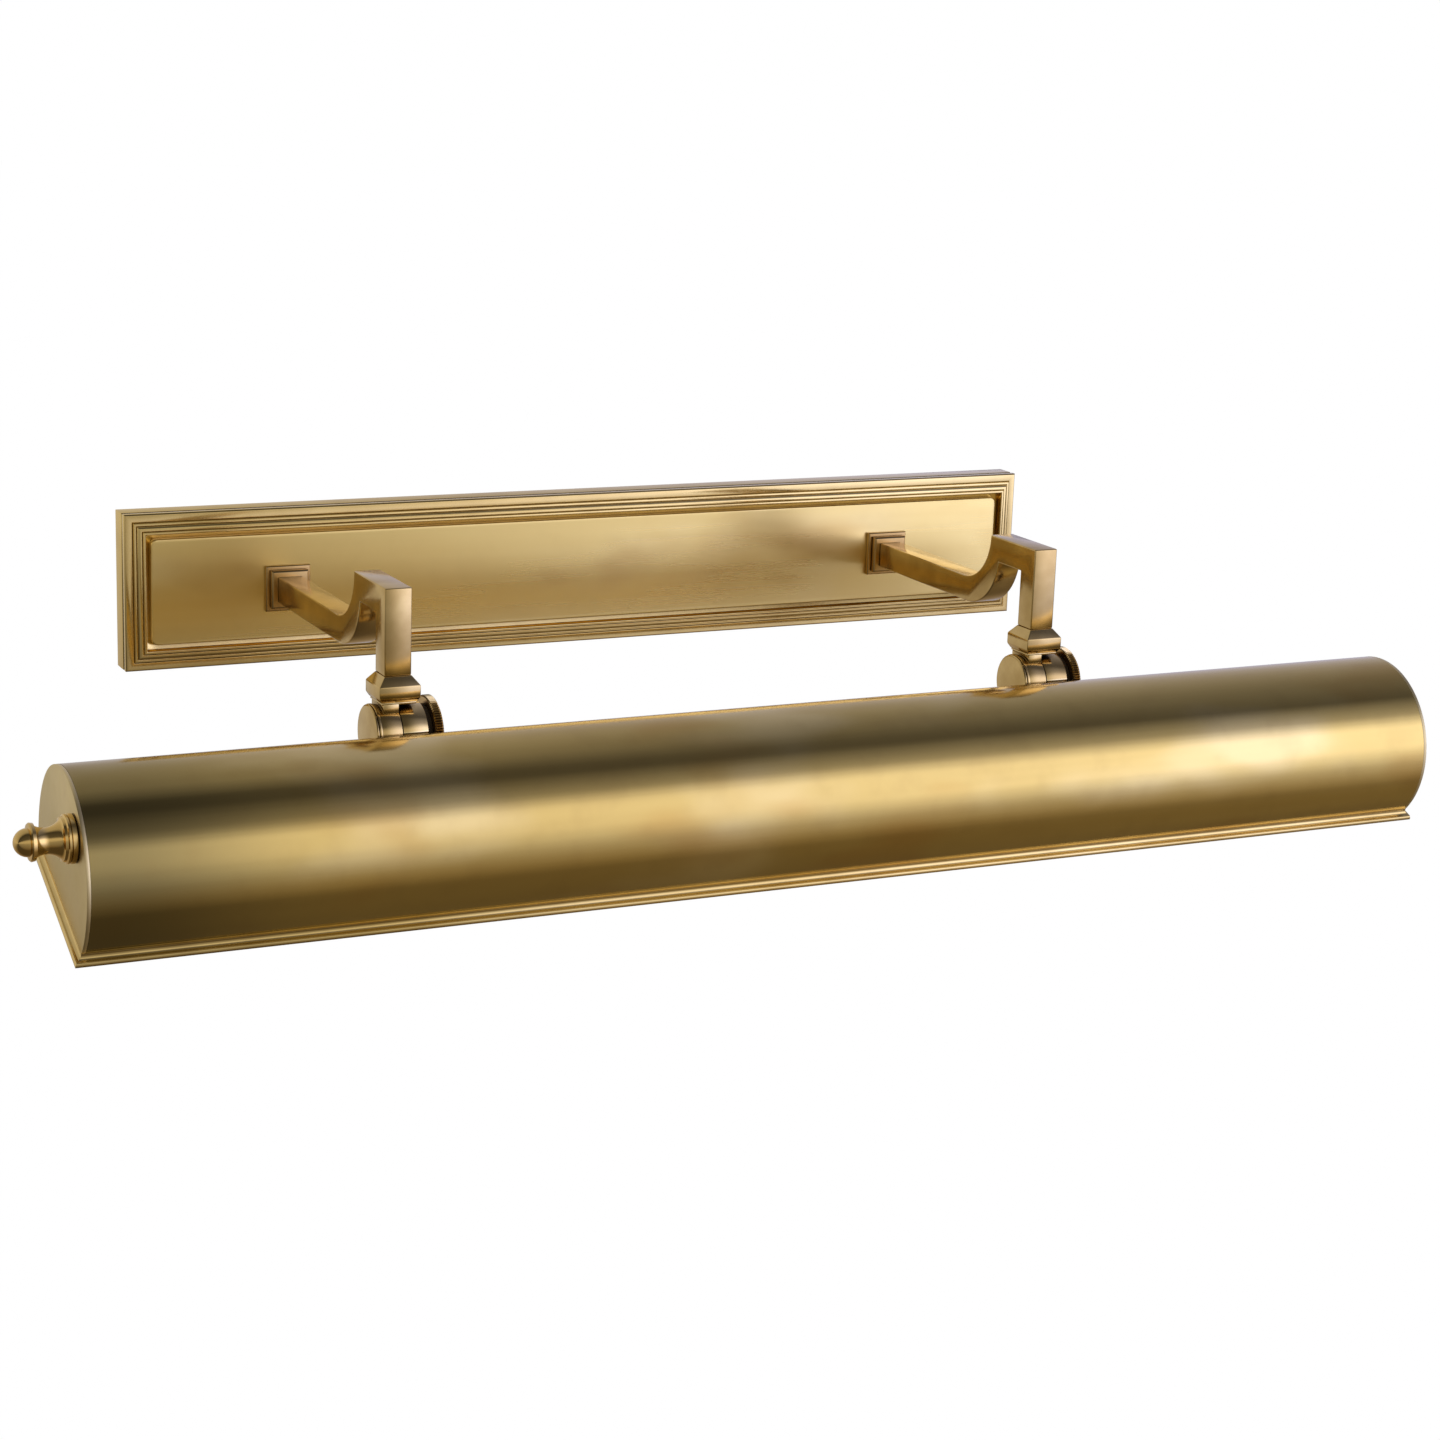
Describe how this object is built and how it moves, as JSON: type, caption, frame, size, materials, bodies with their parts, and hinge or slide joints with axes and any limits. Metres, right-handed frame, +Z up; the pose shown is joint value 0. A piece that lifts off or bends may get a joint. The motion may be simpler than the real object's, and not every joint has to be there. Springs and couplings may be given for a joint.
{
  "type": "picture light",
  "caption": "Wall picture light: a long half-round brass shade that tilts on clamped knuckles, held by square cranked arms in front of a moulded rectangular backplate.",
  "frame": {"origin": "centre of the backplate's rear face, on the wall", "axes": "+X along the backplate and the shade, +Y into the wall, +Z up; the light stands out towards -Y, and the switch knob is on the -X end"},
  "size_m": [0.6344, 0.2414, 0.1283],
  "materials": {
    "aged_brass": "hand-rubbed antique brass, satin, darker in the recesses",
    "panel_brass": "antique brass brushed along its length, satin",
    "end_brass": "matte aged brass",
    "bright_brass": "polished brass with a light patina",
    "bracket_steel": "zinc-plated sheet, satin",
    "zinc_steel": "zinc-plated, satin",
    "reflector_white": "white stove enamel, semi-matte",
    "friction_washer": "black fibre, matte",
    "holder_plastic": "black moulded plastic, matte",
    "terminal_plastic": "off-white moulded plastic, matte",
    "cap_metal": "plated lamp cap, satin",
    "lamp_glass": "clear tubular lamp glass"
  },
  "bodies": {
    "fixture": {"backplate": "aged_brass", "face_panel": "panel_brass", "wall_bracket": "bracket_steel", "lock_screws": "zinc_steel", "terminal_block": "terminal_plastic", "earth_stud": "bright_brass", "arm_nut_washers": "zinc_steel", "arm_nipple_left": "zinc_steel", "arm_nipple_right": "zinc_steel", "arm_nut_left": "zinc_steel", "arm_nut_right": "zinc_steel", "rosette_left": "aged_brass", "rosette_right": "aged_brass", "arm_left": "aged_brass", "arm_right": "aged_brass", "collar_left": "aged_brass", "collar_right": "aged_brass", "knuckle_fixed_left": "aged_brass", "knuckle_fixed_right": "aged_brass", "pivot_bolt_left": "aged_brass", "pivot_bolt_right": "aged_brass", "clamp_washer_left": "friction_washer", "clamp_washer_right": "friction_washer"},
    "shade": {"shade_shell": "aged_brass", "rim_frame": "aged_brass", "reflector": "reflector_white", "switch_body": "holder_plastic", "switch_nut": "zinc_steel", "knuckle_moving_left": "aged_brass", "knuckle_moving_right": "aged_brass", "foot_screws_left": "zinc_steel", "foot_screws_right": "zinc_steel", "end_plate_left": "end_brass", "end_plate_right": "end_brass", "lamp_bracket_left": "zinc_steel", "lamp_bracket_right": "zinc_steel", "bracket_stud_left": "zinc_steel", "bracket_stud_right": "zinc_steel", "lamp_holder_left": "holder_plastic", "lamp_holder_right": "holder_plastic", "lamp_cap_left": "cap_metal", "lamp_cap_right": "cap_metal", "lamp_left": "lamp_glass", "lamp_right": "lamp_glass"},
    "switch_knob": {"switch_knob": "bright_brass", "switch_spindle": "zinc_steel"},
    "nut_left": {"knurled_nut_left": "aged_brass"},
    "nut_right": {"knurled_nut_right": "aged_brass"}
  },
  "joints": [
    {"name": "shade_tilt", "type": "hinge", "parent": "fixture", "child": "shade", "pos_m": [0.00565, -0.157, -0.0339], "axis": [1, 0, 0], "range_deg": [-45, 70]},
    {"name": "switch_turn", "type": "hinge", "parent": "shade", "child": "switch_knob", "pos_m": [-0.29915, -0.2233, -0.0456], "axis": [1, 0, 0], "range_deg": [0, 90]},
    {"name": "nut_left_turn", "type": "hinge", "parent": "fixture", "child": "nut_left", "pos_m": [-0.137, -0.157, -0.0339], "axis": [1, 0, 0], "range_deg": [0, 180]},
    {"name": "nut_right_turn", "type": "hinge", "parent": "fixture", "child": "nut_right", "pos_m": [0.167, -0.157, -0.0339], "axis": [1, 0, 0], "range_deg": [0, 180]}
  ]
}
